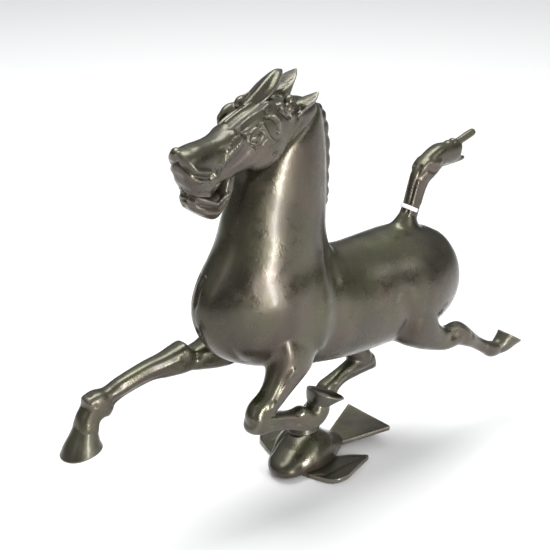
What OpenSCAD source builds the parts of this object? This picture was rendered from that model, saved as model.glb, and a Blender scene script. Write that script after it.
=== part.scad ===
// Galloping horse on a flying bird, a bronze statuette made of hollow and solid castings.
// The castings meet face to face and are held by sleeves, dowels and a rod.
// +X is the way the horse runs, +Y is its left, +Z is up. The bird stands on Z = 0.

/* [Overall] */
// Length from the rear hoof to the front hoof
statue_length = 440; // [220:10:660]
// Height of the bird's back, where the horse's hoof stands
bird_height = 28; // [24:1:36]
// Wall of the hollow castings
wall = 3.5; // [2.5:0.5:5]

/* [Horse] */
// Width of the croup, the widest place of the body
body_width = 82; // [66:2:98]
// Width of the neck where it meets the body
neck_width = 64; // [52:2:76]
// Width of the head across the cheeks
head_width = 38; // [30:1:46]
// Thickness of the foreleg's cannon bone
cannon_d = 14; // [11:0.5:17]
// Thickness of the tail above the tie
tail_d = 13; // [10:0.5:16]
// Turn of the head to the horse's left
head_turn = 8; // [0:1:12]
// Droop of the head below level
head_droop = 17; // [14:1:20]
// Lean of the head to its left side
head_lean = 6; // [0:1:10]

/* [Bird] */
// Width of the bird's body
bird_width = 52; // [44:2:62]
// Reach of each wing from the middle of the bird
wing_reach = 51; // [44:1:62]
// Thickness of the wings and the tail fan
plate_t = 4; // [3:0.5:6]
// Length of the tail fan behind the body
fan_length = 42; // [34:1:50]

/* [Fastenings] */
// Diameter of the dowels that hold the legs to the body
dowel_d = 6; // [4:0.5:8]
// Diameter of the small pins at the hooves, knee, ears and jaw
pin_d = 2.4; // [1.6:0.2:3]
// Diameter of the steel rod in the supporting leg
rod_d = 4; // [3:0.5:5]
// Outer diameter of the sleeve between body and neck
neck_sleeve_d = 44; // [30:1:52]
// Outer diameter of the sleeve between neck and head
head_sleeve_d = 20; // [14:1:26]
// Diameter of the plug that closes the vent in the belly
plug_d = 12; // [8:1:18]
// Clearance all round between a pin or sleeve and its bore
fit_gap = 0.1; // [0.05:0.05:0.3]
// Width of the white tie round the tail
tie_width = 3; // [1.5:0.5:5]
// Thickness of the white tie
tie_t = 0.8; // [0.5:0.1:1.5]

/* [Hidden] */

k = statue_length / 440;         // uniform growth of every casting
bw = body_width / 82;            // growth in width of the body alone
nw = neck_width / 64;            // growth in width of the neck alone
hw = head_width / 38;            // growth in width of the head alone
leg = cannon_d / 14;             // growth in thickness of the legs
tl = tail_d / 13;                // growth in thickness of the tail
lift = bird_height;              // the horse is measured from the bird's back
round_n = 48;                    // facets of the round fastenings
leg_sides = 16;                  // facets round a leg
big = 400 * k;                   // longer than any casting
core_d = 1;                      // the sand core leaves this much to be bored out
dowel_bore = dowel_d + 2 * fit_gap;
pin_bore = pin_d + 2 * fit_gap;

bronze = [0.36, 0.34, 0.29];
bronze_dark = [0.28, 0.27, 0.23];
steel = [0.6, 0.61, 0.62];
brass_pin = [0.62, 0.53, 0.32];

// ---- lofts -------------------------------------------------------------------------
// A row is [x, y, z, half width, radius on the upper side, radius on the lower side,
// slope of the path in degrees]. Rows are joined by a smooth curve.
function smooth_row(rows, t) =
    let (i = min(floor(t), len(rows) - 2), u = t - i,
         a = rows[max(i - 1, 0)], b = rows[i], c = rows[i + 1],
         d = rows[min(i + 2, len(rows) - 1)])
    0.5 * (2 * b + (c - a) * u + (2 * a - 5 * b + 4 * c - d) * u * u
           + (3 * b - a - 3 * c + d) * u * u * u);

function ring(row, sides) =
    [for (j = [0 : sides - 1])
        let (q = 360 * j / sides, r = sin(q) > 0 ? row[4] : row[5])
        [row[0] - r * sin(q) * sin(row[6]),
         row[1] + row[3] * cos(q),
         row[2] + r * sin(q) * cos(row[6])]];

module loft(rows, sides = leg_sides, steps = 2) {
    last = (len(rows) - 1) * steps;
    rings = [for (i = [0 : last]) smooth_row(rows, i / steps)];
    start = last * sides + sides;
    points = concat([for (r = rings) each ring(r, sides)],
                    [[rings[0][0], rings[0][1], rings[0][2]],
                     [rings[last][0], rings[last][1], rings[last][2]]]);
    walls = [for (i = [0 : last - 1], j = [0 : sides - 1])
        let (a = i * sides + j, b = i * sides + (j + 1) % sides)
        each [[a, a + sides, b + sides], [a, b + sides, b]]];
    back = [for (j = [0 : sides - 1]) [start, j, (j + 1) % sides]];
    front = [for (j = [0 : sides - 1])
        [start + 1, last * sides + (j + 1) % sides, last * sides + j]];
    polyhedron(points, concat(walls, back, front), convexity = 8);
}

// Rows grown by the statue's size, and by own factors for width and thickness
function grown(rows, wide = 1, thick = 1) =
    [for (r = rows) [r[0] * k, r[1] * k, r[2] * k, r[3] * k * wide,
                     r[4] * k * thick, r[5] * k * thick, r[6]]];
// Rows of the hollow inside a casting
function hollow(rows, t) =
    [for (r = rows) [r[0], r[1], r[2], max(r[3] - t, 0.5), max(r[4] - t, 0.5),
                     max(r[5] - t, 0.5), r[6]]];

function inner(rows, first, last) = [for (i = [first : last]) rows[i]];

// One closed mesh, so that curved castings are cut cleanly
module cast() { resize([0, 0, 0]) children(); }

// A round bar from one point to another
module bar(from, to, d) {
    run = to - from;
    translate(from)
        rotate([0, acos(run[2] / norm(run)), atan2(run[1], run[0])])
            cylinder(d = d, h = norm(run), $fn = round_n);
}

// Half space on the far side of a joint plane, which crosses at p a path of this slope
module beyond(p, slope) {
    translate(p) rotate([0, 90 - slope, 0])
        translate([-big / 2, -big / 2, 0]) cube(big);
}
// Half space on the near side of the same plane
module before(p, slope) {
    translate(p) rotate([0, -90 - slope, 0])
        translate([-big / 2, -big / 2, 0]) cube(big);
}

// The horse is set down on the bird's back
module on_bird() { translate([0, 0, lift]) children(); }

// ---- body --------------------------------------------------------------------------
torso_rows = grown([
    [-141,  0, 120,  6,  7,  8,  0],
    [-138,  0, 120, 22, 23, 28,  0],
    [-129,  0, 118, 32, 37, 38,  0],
    [-110,  0, 117, 38, 46, 46,  0],
    [ -85,  0, 118, 41, 50, 48,  0],
    [ -55,  0, 119, 39, 49, 50,  0],
    [ -25,  0, 119, 38, 49, 49,  4],
    [   3,  0, 123, 38, 49, 49, 17],
    [  19,  0, 128, 37, 51, 52, 33],
    [  35,  0, 133, 36, 57, 58, 47],
    [  50,  0, 143, 36, 62, 64, 61],
    [  57,  0, 157, 35, 63, 66, 74],
    [  56,  0, 170, 32, 60, 62, 84]], bw);
neck_foot = torso_rows[len(torso_rows) - 1];

neck_rows = concat([[neck_foot[0], neck_foot[1], neck_foot[2], neck_foot[3] * nw / bw,
                     neck_foot[4], neck_foot[5], neck_foot[6]]],
    grown([
    [ 51,  0, 193, 30, 50, 50, 88],
    [ 46,  0, 217, 27, 46, 47, 88],
    [ 43,  0, 237, 25, 43, 42, 87],
    [ 41,  0, 253, 23, 40, 40, 78],
    [ 42,  0, 269, 20, 36, 36, 63]], nw));
neck_top = neck_rows[len(neck_rows) - 1];

function place(row) = [row[0], row[1], row[2]];
function along(row, d) = place(row) + d * [cos(row[6]), 0, sin(row[6])];

module torso_outside() { loft(torso_rows, 28); }

module sleeve_bar(row, d, half) {
    bar(along(row, -half), along(row, half), d);
}
neck_sleeve_l = 9 * k + 2 * wall;    // half length of the sleeve in the neck's foot
head_sleeve_l = 5 * k + 2 * wall;    // half length of the sleeve in the neck's top

// Vent in the belly, closed by a plug
plug_at = [-30, 0, 70] * k;
plug_flush = 1.5 * wall;             // the plug reaches this far past the wall

tail_rows = grown([
    [ -94,  0, 157,  7,  9,  9, 105],
    [ -97,  0, 170,  6,  8,  9, 105],
    [-100,  0, 181,  5,  6,  7, 110],
    [-107,  0, 194,  5,  7,  7, 118],
    [-113,  0, 205,  6,  8,  9, 125],
    [-122,  0, 213,  7, 10,  9, 150],
    [-134,  0, 218,  7,  9,  9, 168],
    [-147,  0, 218,  6,  7,  8, 180],
    [-151,  0, 217,  3,  5,  5, 180]], tl, tl);
tip_rows = grown([
    [-138,  0, 223,  3, 3, 3, 165],
    [-152,  0, 226,  3, 3, 3, 162],
    [-170,  0, 231,  3, 3, 3, 164],
    [-173,  0, 232,  2, 2, 2, 164]], tl, tl);
// Peg that holds the tail, from inside the croup into the tail
tail_peg = [[-92, 0, 148] * k, [-97, 0, 173] * k];

module torso() color(bronze) on_bird()
    difference() {
        cast() difference() {
            torso_outside();
            difference() {
                loft(hollow(inner(torso_rows, 2, 12), wall), 20, 1);
                beyond(along(neck_foot, -wall), neck_foot[6]);
            }
            sleeve_bar(neck_foot, neck_sleeve_d - core_d, neck_sleeve_l);
        }
        sleeve_bar(neck_foot, neck_sleeve_d + 2 * fit_gap, neck_sleeve_l);
        plug_bar(plug_d + 2 * fit_gap, 2 * plug_flush);
        bar(tail_peg[0], tail_peg[1], dowel_bore);
        for (d = dowels) bar(d[0], d[1], dowel_bore);
    }

// The plug fills the vent and is filed flush with the belly
module plug_bar(d, rise) {
    translate([plug_at[0], 0, 0]) cylinder(d = d, h = plug_at[2] + rise, $fn = round_n);
}
module belly_plug() color(brass_pin) on_bird()
    cast() intersection() {
        torso_outside();
        plug_bar(plug_d, plug_flush);
    }

module neck() color(bronze) on_bird()
    difference() {
        cast() difference() {
            loft(neck_rows, 24);
            difference() {
                loft(hollow(neck_rows, wall), 20, 1);
                beyond(along(neck_top, -wall), neck_top[6]);
                before(along(neck_foot, wall), neck_foot[6]);
            }
            sleeve_bar(neck_foot, neck_sleeve_d - core_d, neck_sleeve_l);
        }
        sleeve_bar(neck_foot, neck_sleeve_d + 2 * fit_gap, neck_sleeve_l);
        sleeve_bar(neck_top, head_sleeve_d + 2 * fit_gap, head_sleeve_l);
    }

module sleeve(row, d, half) {
    difference() {
        sleeve_bar(row, d, half);
        sleeve_bar(row, d - 2 * wall, half + 1);
    }
}
module neck_sleeve() color(steel) on_bird() sleeve(neck_foot, neck_sleeve_d, neck_sleeve_l);
module head_sleeve() color(steel) on_bird() sleeve(neck_top, head_sleeve_d, head_sleeve_l);

// ---- head --------------------------------------------------------------------------
// The head has its own frame: origin at the poll, X to the muzzle, Z to the forehead.
poll = [20, 0, 288] * k;
module at_poll() { translate(poll) rotate([-head_lean, head_droop, head_turn]) children(); }

head_rows = grown([
    [ -6, 0,  0,  7,  5,  7, 0],
    [ -2, 0,  0, 12,  9, 11, 0],
    [ 10, 0,  1, 17, 15, 17, 0],
    [ 24, 0,  3, 19, 20, 20, 0],
    [ 40, 0,  5, 19, 24, 21, 0],
    [ 58, 0,  6, 19, 25, 21, 0],
    [ 74, 0,  8, 17, 22, 19, 0],
    [ 88, 0, 10, 15, 17, 17, 0],
    [103, 0, 12, 14, 14, 15, 0],
    [114, 0, 14, 14, 16, 15, 0],
    [122, 0, 16, 13, 17, 13, 0],
    [128, 0, 19,  9, 12,  9, 0],
    [131, 0, 21,  4,  5,  5, 0]], hw);
jaw_rows = grown([
    [ 76, 0,  -9,  9,  5,  6, -20],
    [ 92, 0, -13, 11,  5,  7, -18],
    [102, 0, -17, 11,  5, 10,  -8],
    [111, 0, -15, 12,  5, 12,  16],
    [119, 0, -10, 11,  5,  8,  32],
    [125, 0,  -5,  7,  4,  5,  40],
    [127, 0,  -3,  3,  2,  2,  40]], hw);
tongue_rows = grown([
    [ 96, 0, -10, 4, 2, 6, 0],
    [104, 0,  -9, 6, 3, 6, 0],
    [112, 0,  -7, 6, 3, 8, 8],
    [117, 0,  -6, 3, 1, 6, 8]], hw);
left_ear_rows = grown([
    [ 14, 11 * hw,  8, 6, 6, 6, 125],
    [ 10, 13 * hw, 13, 6, 6, 6, 140],
    [  4, 15 * hw, 15, 5, 4, 5, 150],
    [ -4, 17 * hw, 17, 1, 1, 1, 160]]);
right_ear_rows = grown([
    [ 14, -11 * hw,  9, 6, 7, 7, 130],
    [  8, -12 * hw, 16, 6, 7, 6, 140],
    [ -2, -12 * hw, 20, 5, 4, 5, 155],
    [-13, -12 * hw, 23, 1, 1, 1, 160]]);
forelock_rows = grown([
    [ 46, -4,  26, 6, 3, 5, 170],
    [ 34, -4,  28, 7, 4, 7, 160],
    [ 22, -4,  31, 6, 5, 8, 165],
    [ 13, -5,  33, 4, 3, 4, 170],
    [  8, -5,  33, 1, 1, 1, 175]]);

// The mouth is open at its corners
mouth_at = [103, 0, -9] * k;
mouth_size = [21, 32, 8] * k;
module mouth() { translate(mouth_at) scale(mouth_size) sphere(d = 1, $fn = 24); }
module head_outside() { loft(head_rows, 24); }

module head() color(bronze) on_bird()
    difference() {
        cast() difference() {
            at_poll() difference() {
                head_outside();
                mouth();
            }
            difference() {
                at_poll() loft(hollow(inner(head_rows, 1, 7), wall), 16, 1);
                before(along(neck_top, wall), neck_top[6]);
            }
            loft(neck_rows, 24);
            sleeve_bar(neck_top, head_sleeve_d - core_d, head_sleeve_l);
        }
        sleeve_bar(neck_top, head_sleeve_d + 2 * fit_gap, head_sleeve_l);
        at_poll() for (p = head_pins) bar(p[0], p[1], pin_bore);
    }

module lower_jaw() color(bronze) on_bird()
    difference() {
        cast() at_poll() difference() {
            loft(jaw_rows);
            head_outside();
        }
        at_poll() for (p = head_pins) bar(p[0], p[1], pin_bore);
    }

module tongue() color(bronze_dark) on_bird() at_poll()
    cast() difference() {
        loft(tongue_rows, 12);
        head_outside();
        loft(jaw_rows);
    }

module ear(rows) {
    difference() {
        cast() at_poll() difference() {
            loft(rows, 14);
            head_outside();
        }
        at_poll() for (p = head_pins) bar(p[0], p[1], pin_bore);
    }
}
module left_ear() color(bronze) on_bird() ear(left_ear_rows);
module right_ear() color(bronze) on_bird() ear(right_ear_rows);
module forelock() color(bronze) on_bird()
    difference() {
        cast() at_poll() difference() {
            loft(forelock_rows, 14);
            head_outside();
            loft(right_ear_rows, 14);
        }
        at_poll() for (p = head_pins) bar(p[0], p[1], pin_bore);
    }

// ---- tail --------------------------------------------------------------------------
module tail_outside() { loft(tail_rows, 16); }
module tail() color(bronze) on_bird() {
    cast() difference() {
        union() {
            tail_outside();
            loft(tip_rows, 12);
        }
        torso_outside();
    }
    bar(tail_peg[0], tail_peg[1], dowel_d);
}

// The tie lies round the tail where it is narrowest. A ring is an oval that stands off
// the tail by t and reaches half its width to each side.
tie_slack = 0.4;
module tie_ring(t, half) {
    row = tail_rows[2];
    run = half * [cos(row[6]), 0, sin(row[6])];
    oval = [row[3] + t, row[4] + t, row[5] + t, row[6]];
    loft([concat(place(row) - run, oval), concat(place(row) + run, oval)], 24, 1);
}
module tail_tie() color("white") on_bird()
    cast() difference() {
        tie_ring(tie_slack + tie_t, tie_width / 2);
        tie_ring(tie_slack, tie_width);
        tail_outside();
    }

// ---- legs --------------------------------------------------------------------------
right_foreleg_rows = grown([
    [ 70, -18 * bw, 108, 15, 18, 18, -12],
    [ 90, -22, 102, 13, 14, 15,  -8],
    [106, -24, 101, 10,  8, 12,  -2],
    [118, -26, 102, 10, 12, 12,   0],
    [130, -26, 102,  9, 11, 11,  -6],
    [150, -27, 100,  7,  8,  8, -10],
    [172, -27,  95,  6,  8,  7, -15],
    [188, -28,  90,  7,  8,  8, -22],
    [197, -28,  85,  8, 11,  9, -38],
    [202, -28,  78,  8,  9,  9, -60],
    [204, -28,  71,  9,  9,  9, -74]], leg, leg);
right_fore_hoof_rows = concat([right_foreleg_rows[len(right_foreleg_rows) - 1]], grown([
    [207, -28,  65, 11, 12, 12, -82],
    [209, -28,  59, 13, 15, 14, -92],
    [210, -28,  53, 14, 17, 16, -98]], leg, leg));

left_forearm_rows = grown([
    [ 50,  24 * bw, 107, 18, 24, 24, -50],
    [ 60,  27,  94, 14, 17, 17, -46],
    [ 69,  30,  84, 10, 12, 12, -42],
    [ 77,  32,  76,  9, 10, 10, -38],
    [ 86,  33,  70,  9, 10, 10, -34]], leg, leg);
left_fore_cannon_rows = grown([
    [ 99,  34,  67,  3,  3,  3, -170],
    [ 97,  34,  66,  8,  9,  9, -170],
    [ 88,  34,  63,  9, 11, 11, -168],
    [ 78,  34,  58,  8,  8,  8, -162],
    [ 66,  34,  54,  7,  7,  7, -162],
    [ 54,  34,  50,  7,  8,  8, -165],
    [ 44,  34,  48,  8,  8,  9, -170],
    [ 37,  34,  46,  8,  9,  9, -195],
    [ 32,  34,  49,  8,  9,  9, -235],
    [ 30,  33,  54,  9,  9,  9, -255]], leg, leg);
left_fore_hoof_rows = concat([left_fore_cannon_rows[9]], grown([
    [ 27,  32,  57, 11, 12, 10, -252],
    [ 24,  32,  60, 12, 15, 12, -248],
    [ 21,  32,  62, 13, 17, 14, -245]], leg, leg));

left_hind_rows = grown([
    [ -74,  20 * bw,  98, 20, 24, 20, -158],
    [ -89,  24,  87, 17, 22, 19, -160],
    [-103,  27,  74, 13, 14, 12, -168],
    [-116,  30,  67,  9, 11, 10, -176],
    [-130,  31,  66,  8, 10, 11, -170],
    [-142,  32,  61,  7,  8,  9, -150],
    [-156,  32,  51,  5,  6,  6, -144],
    [-168,  32,  43,  6,  6,  6, -147],
    [-177,  32,  38,  6,  7,  7, -158],
    [-184,  32,  36,  6,  6,  7, -190]], leg, leg);
left_hind_hoof_rows = concat([left_hind_rows[9]], grown([
    [-191,  32,  37,  8,  7,  9, -215],
    [-198,  32,  40,  9,  9, 12, -230],
    [-203,  32,  43, 10, 12, 14, -237]], leg, leg));

right_thigh_rows = grown([
    [-64, -18 * bw, 102, 18, 26, 26, -82],
    [-56, -21,  82, 15, 20, 22, -95],
    [-55, -23,  68, 12, 14, 17, -112],
    [-62, -22,  53,  9, 10, 11, -130],
    [-70, -20,  43,  8,  9,  9, -132],
    [-75, -20,  39,  5,  5,  5, -132]], leg, leg);
right_shank_rows = grown([
    [-79, -20,  40,  4,  4,  4, -12],
    [-75, -20,  40,  7,  8,  8, -12],
    [-66, -20,  40,  8,  9,  9,  -8],
    [-57, -20,  38,  7,  8,  8, -12],
    [-45, -20,  35,  6,  7,  7, -18],
    [-35, -20,  31,  7,  7,  7, -28],
    [-27, -20,  26,  8,  8,  9, -42],
    [-18, -19,  18,  7,  7,  8, -46],
    [-11, -19,  12,  8,  8,  8, -54]], leg, leg);
right_hind_hoof_rows = concat([right_shank_rows[8]], grown([
    [ -7, -18,   7, 10, 11, 10, -66],
    [ -3, -18,   3, 11, 14, 12, -80],
    [ -1, -18,   0, 12, 15, 13, -90]], leg, leg));

// Dowels run from inside the body into each leg
dowels = [
    [[ 72, -18 * bw, 107] * k, [112, -25, 101] * k],
    [[ 46,  23 * bw, 112] * k, [ 70,  30,  83] * k],
    [[-76,  21 * bw,  97] * k, [-103, 27,  75] * k],
    [[-61, -19 * bw,  96] * k, [-56, -23,  70] * k]];
// Pins that hold hooves and the folded foreleg's knee
leg_pins = [
    [[200, -28,  79] * k, [206, -28,  63] * k],
    [[ 82,  33,  72] * k, [ 92,  34,  64] * k],
    [[ 31,  33,  50] * k, [ 26,  32,  60] * k],
    [[-180, 32,  37] * k, [-193, 32,  38] * k]];
// Pins of the jaw, the ears and the forelock, in the head's frame
head_pins = [
    [[ 92,   0,  -1] * k, [ 95,   0, -14] * k],
    [[ 15,  10 * hw,  4] * k, [  8,  13 * hw, 14] * k],
    [[ 15, -10 * hw,  5] * k, [  6, -12 * hw, 17] * k],
    [[ 38,  -4,  18] * k, [ 31,  -4, 29] * k]];

// The rod runs up from its nut through the bird, the hoof and the pastern
rod_top = [-20, -19, 20 * k + lift];
rod_run = [-24, -1, 42];
nut_floor = 1.5;
nut_h = 4;
function rod_at(z) = [rod_top[0] * k, rod_top[1] * k, rod_top[2]]
    + rod_run * ((z - rod_top[2]) / rod_run[2]);
module rod_bore() { bar(rod_at(nut_floor), rod_at(rod_top[2]), rod_d + 2 * fit_gap); }

module leg_piece(rows) {
    difference() {
        cast() difference() {
            loft(rows);
            torso_outside();
        }
        for (d = dowels) bar(d[0], d[1], dowel_bore);
        for (p = leg_pins) bar(p[0], p[1], pin_bore);
    }
}
module hoof(rows) {
    difference() {
        cast() loft(rows);
        for (p = leg_pins) bar(p[0], p[1], pin_bore);
    }
}

module right_foreleg() color(bronze) on_bird() leg_piece(right_foreleg_rows);
module right_fore_hoof() color(bronze_dark) on_bird() hoof(right_fore_hoof_rows);
module left_forearm() color(bronze) on_bird()
    difference() {
        cast() difference() {
            loft(left_forearm_rows);
            torso_outside();
            loft(left_fore_cannon_rows);
        }
        for (d = dowels) bar(d[0], d[1], dowel_bore);
        for (p = leg_pins) bar(p[0], p[1], pin_bore);
    }
module left_fore_cannon() color(bronze) on_bird() hoof(left_fore_cannon_rows);
module left_fore_hoof() color(bronze_dark) on_bird() hoof(left_fore_hoof_rows);
module left_hind_leg() color(bronze) on_bird() leg_piece(left_hind_rows);
module left_hind_hoof() color(bronze_dark) on_bird() hoof(left_hind_hoof_rows);
module right_hind_leg() color(bronze)
    difference() {
        on_bird() difference() {
            cast() difference() {
                union() {
                    loft(right_thigh_rows);
                    loft(right_shank_rows);
                }
                torso_outside();
            }
            for (d = dowels) bar(d[0], d[1], dowel_bore);
        }
        rod_bore();
    }
module right_hind_hoof() color(bronze_dark)
    difference() {
        on_bird() cast() loft(right_hind_hoof_rows);
        rod_bore();
    }

module leg_dowels() color(steel) on_bird() for (d = dowels) bar(d[0], d[1], dowel_d);
module joint_pins() color(brass_pin) on_bird() {
    for (p = leg_pins) bar(p[0], p[1], pin_d);
    at_poll() for (p = head_pins) bar(p[0], p[1], pin_d);
}
// The rod's foot is filed flat where it sits on the nut
module support_rod() color(steel)
    difference() {
        bar(rod_at(nut_floor), rod_at(rod_top[2]), rod_d);
        translate([0, 0, nut_floor + nut_h]) floor_cut();
    }

// ---- bird --------------------------------------------------------------------------
bird_y = -16 * k;
bb = bird_width / 52;
bh = bird_height / 28 / k;
bird_rows = grown([
    [-38, -16,  3,  8,  6 * bh, 12, 0],
    [-28, -16,  3, 14, 12 * bh, 16, 0],
    [-14, -16,  4, 22, 22 * bh, 20, 0],
    [  2, -16,  4, 26, 26 * bh, 20, 0],
    [ 14, -15,  4, 24, 22 * bh, 18, 0],
    [ 24, -12,  4, 19, 15 * bh, 16, 0],
    [ 32,  -8,  7, 15,  9 * bh,  6, 0],
    [ 37,  -6,  8, 11,  6 * bh,  5, 0],
    [ 41,  -5,  8,  3,  2 * bh,  2, 0]], bb);
module floor_cut() { translate([-big / 2, -big / 2, -big]) cube(big); }
module bird_outside() { loft(bird_rows, 24); }

module bird_body() color(bronze)
    difference() {
        cast() difference() {
            bird_outside();
            floor_cut();
            on_bird() loft(right_hind_hoof_rows);
        }
        rod_bore();
        nut_seat();
    }

// Hexagonal nut in a pocket under the bird
nut_w = 2 * rod_d;
spanner_room = 2;
module nut_seat() {
    translate([rod_at(nut_floor)[0], rod_at(nut_floor)[1], -nut_floor])
        cylinder(d = nut_w + spanner_room, h = 2 * nut_floor + nut_h, $fn = round_n);
}
module rod_nut() color(steel)
    translate([rod_at(nut_floor)[0], rod_at(nut_floor)[1], nut_floor])
        cylinder(d = nut_w, h = nut_h, $fn = 6);

// Wing seen from above, for the left side; the right one is its mirror image
wing_outline = [
    [ 24,  8], [ 21, 20], [ 17, wing_reach - 18], [ 13, wing_reach - 6],
    [  7, wing_reach - 1], [ -3, wing_reach], [-22, wing_reach - 7],
    [-42, wing_reach - 14], [-30, wing_reach - 25], [-18, 20], [-14, 8]] * k;
module wing(side) {
    cast() difference() {
        translate([0, bird_y, 0]) scale([1, side, 1])
            linear_extrude(plate_t) polygon(wing_outline);
        bird_outside();
    }
}
module bird_left_wing() color(bronze) wing(1);
module bird_right_wing() color(bronze) wing(-1);

// The fan rises from the body to its straight rear edge
fan_rise = 8 * k;
fan_root = -34 * k;
fan_end = -34 * k - fan_length * k;
fan_outline = [[fan_root + 6 * k, -8 * k], [fan_root, -9 * k], [fan_end, -27 * k],
               [fan_end, 27 * k], [fan_root, 9 * k], [fan_root + 6 * k, 8 * k]];
module bird_tail() color(bronze)
    cast() difference() {
        translate([0, bird_y, 0])
            multmatrix([[1, 0, 0, 0], [0, 1, 0, 0],
                        [fan_rise / (fan_end - fan_root), 0, 1, 3 * k
                         - fan_rise * fan_root / (fan_end - fan_root)],
                        [0, 0, 0, 1]])
                linear_extrude(plate_t) polygon(fan_outline);
        bird_outside();
    }

// ---- assembly ----------------------------------------------------------------------
torso();
belly_plug();
neck();
neck_sleeve();
head();
head_sleeve();
lower_jaw();
tongue();
left_ear();
right_ear();
forelock();
tail();
tail_tie();
right_foreleg();
right_fore_hoof();
left_forearm();
left_fore_cannon();
left_fore_hoof();
left_hind_leg();
left_hind_hoof();
right_hind_leg();
right_hind_hoof();
leg_dowels();
joint_pins();
support_rod();
rod_nut();
bird_body();
bird_left_wing();
bird_right_wing();
bird_tail();
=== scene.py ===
import math

import bmesh
import bpy
import numpy as np
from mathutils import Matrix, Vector


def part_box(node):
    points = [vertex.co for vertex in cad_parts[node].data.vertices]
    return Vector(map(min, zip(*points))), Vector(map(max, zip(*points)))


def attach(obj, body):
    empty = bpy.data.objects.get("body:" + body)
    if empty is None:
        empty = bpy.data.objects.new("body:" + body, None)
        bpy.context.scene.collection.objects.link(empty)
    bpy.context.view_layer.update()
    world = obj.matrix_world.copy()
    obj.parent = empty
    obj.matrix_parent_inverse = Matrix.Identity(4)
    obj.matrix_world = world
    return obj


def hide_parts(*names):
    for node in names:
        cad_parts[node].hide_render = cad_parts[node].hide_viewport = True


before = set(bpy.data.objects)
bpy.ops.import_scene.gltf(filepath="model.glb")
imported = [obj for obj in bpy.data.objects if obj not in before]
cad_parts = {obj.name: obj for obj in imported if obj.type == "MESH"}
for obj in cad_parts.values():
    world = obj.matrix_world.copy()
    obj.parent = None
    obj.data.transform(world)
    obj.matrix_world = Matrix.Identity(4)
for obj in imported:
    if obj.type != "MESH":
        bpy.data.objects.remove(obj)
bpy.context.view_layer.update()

# ------------------------------------------------------------------------------------
# The camera stands at the horse's left front and a little above it, at the distance
# from which a small statuette is looked at. It looks at the middle of the body.
AZIMUTH, ELEVATION = math.radians(140), math.radians(23)
SIGHT = Vector((0.0248, -0.0254, 0.1733))
DISTANCE = 1.05
camera = bpy.data.objects.new("camera", bpy.data.cameras.new("camera"))
bpy.context.scene.collection.objects.link(camera)
back = Vector((math.sin(AZIMUTH) * math.cos(ELEVATION),
               -math.cos(AZIMUTH) * math.cos(ELEVATION), math.sin(ELEVATION)))
camera.data.sensor_width = 36
camera.data.lens = 86.2
camera.location = SIGHT + back * DISTANCE
camera.rotation_mode = "QUATERNION"
camera.rotation_quaternion = (-back).to_track_quat("-Z", "Y")
bpy.context.scene.camera = camera

# ------------------------------------------------------------------------------------
# The statuette stands on a sheet of white studio paper. Most of the light comes from
# overhead, a tall narrow lamp draws the streak down the neck, and two weak ones fill the
# front and the flank.
BODY_MIDDLE = Vector((0, 0, 0.17))


def studio_paper():
    """A flat square of matt white paper, wide enough to fill the view."""
    half = 25.0
    mesh = bpy.data.meshes.new("paper")
    mesh.from_pydata([(-half, -half, 0), (half, -half, 0), (half, half, 0), (-half, half, 0)],
                     [], [(0, 1, 2, 3)])
    paper = bpy.data.objects.new("paper", mesh)
    bpy.context.scene.collection.objects.link(paper)
    material = bpy.data.materials.new("studio_paper")
    material.use_nodes = True
    shader = material.node_tree.nodes["Principled BSDF"]
    shader.inputs["Base Color"].default_value = (0.86, 0.865, 0.86, 1)
    shader.inputs["Roughness"].default_value = 0.9
    mesh.materials.append(material)
    return paper


def soft_box(name, place, watts, wide, high, colour=(1, 1, 1)):
    """A rectangular lamp that faces the middle of the body and isn't seen itself."""
    lamp = bpy.data.lights.new(name, "AREA")
    lamp.shape, lamp.size, lamp.size_y = "RECTANGLE", wide, high
    lamp.energy, lamp.color = watts, colour
    box = bpy.data.objects.new(name, lamp)
    box.location = place
    box.rotation_mode = "QUATERNION"
    box.rotation_quaternion = (Vector(place) - BODY_MIDDLE).to_track_quat("Z", "Y")
    box.visible_camera = False
    bpy.context.scene.collection.objects.link(box)


studio_paper()
soft_box("front_light", (1.6, 0.35, 1.1), 2, 0.5, 1.1, (1.0, 0.98, 0.95))
soft_box("flank_light", (-0.9, 1.7, 1.2), 5, 0.9, 0.7, (0.95, 0.97, 1.0))
soft_box("neck_light", (-0.10, 1.5, 0.37), 18, 0.12, 0.72, (1.0, 0.99, 0.98))
soft_box("top_light", (-0.1, -0.5, 2.0), 41, 1.6, 1.0)
# the room is bright overhead and dim at eye level: its light grows with the height looked at
world = bpy.data.worlds.new("studio_air")
world.use_nodes = True
nodes, links = world.node_tree.nodes, world.node_tree.links
aim, height, glow = (nodes.new("ShaderNodeTexCoord"), nodes.new("ShaderNodeSeparateXYZ"),
                     nodes.new("ShaderNodeMapRange"))
glow.interpolation_type = "SMOOTHSTEP"
for name, value in (("From Min", 0.18), ("From Max", 0.72), ("To Min", 0.12), ("To Max", 0.70)):
    glow.inputs[name].default_value = value
links.new(aim.outputs["Generated"], height.inputs[0])
links.new(height.outputs["Z"], glow.inputs["Value"])
links.new(glow.outputs["Result"], nodes["Background"].inputs["Strength"])
nodes["Background"].inputs["Color"].default_value = (0.97, 0.98, 1.0, 1)
bpy.context.scene.world = world
bpy.context.scene.view_settings.view_transform = "Standard"

# ------------------------------------------------------------------------------------
# The bronze is cast, chased and coloured with a brown patina that turns olive where it
# lies thick, is nearly black in the hollows, and is rubbed thin and pale on the ridges.
# Faces that look up are given more olive too, as a painted reflection of the bright room above.
BROWN = (0.086, 0.067, 0.052, 1)
DARK_STREAK = (0.040, 0.033, 0.026, 1)
HOLLOW_BLACK = (0.014, 0.013, 0.010, 1)
BARE_SPECK = (0.20, 0.19, 0.165, 1)


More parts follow.
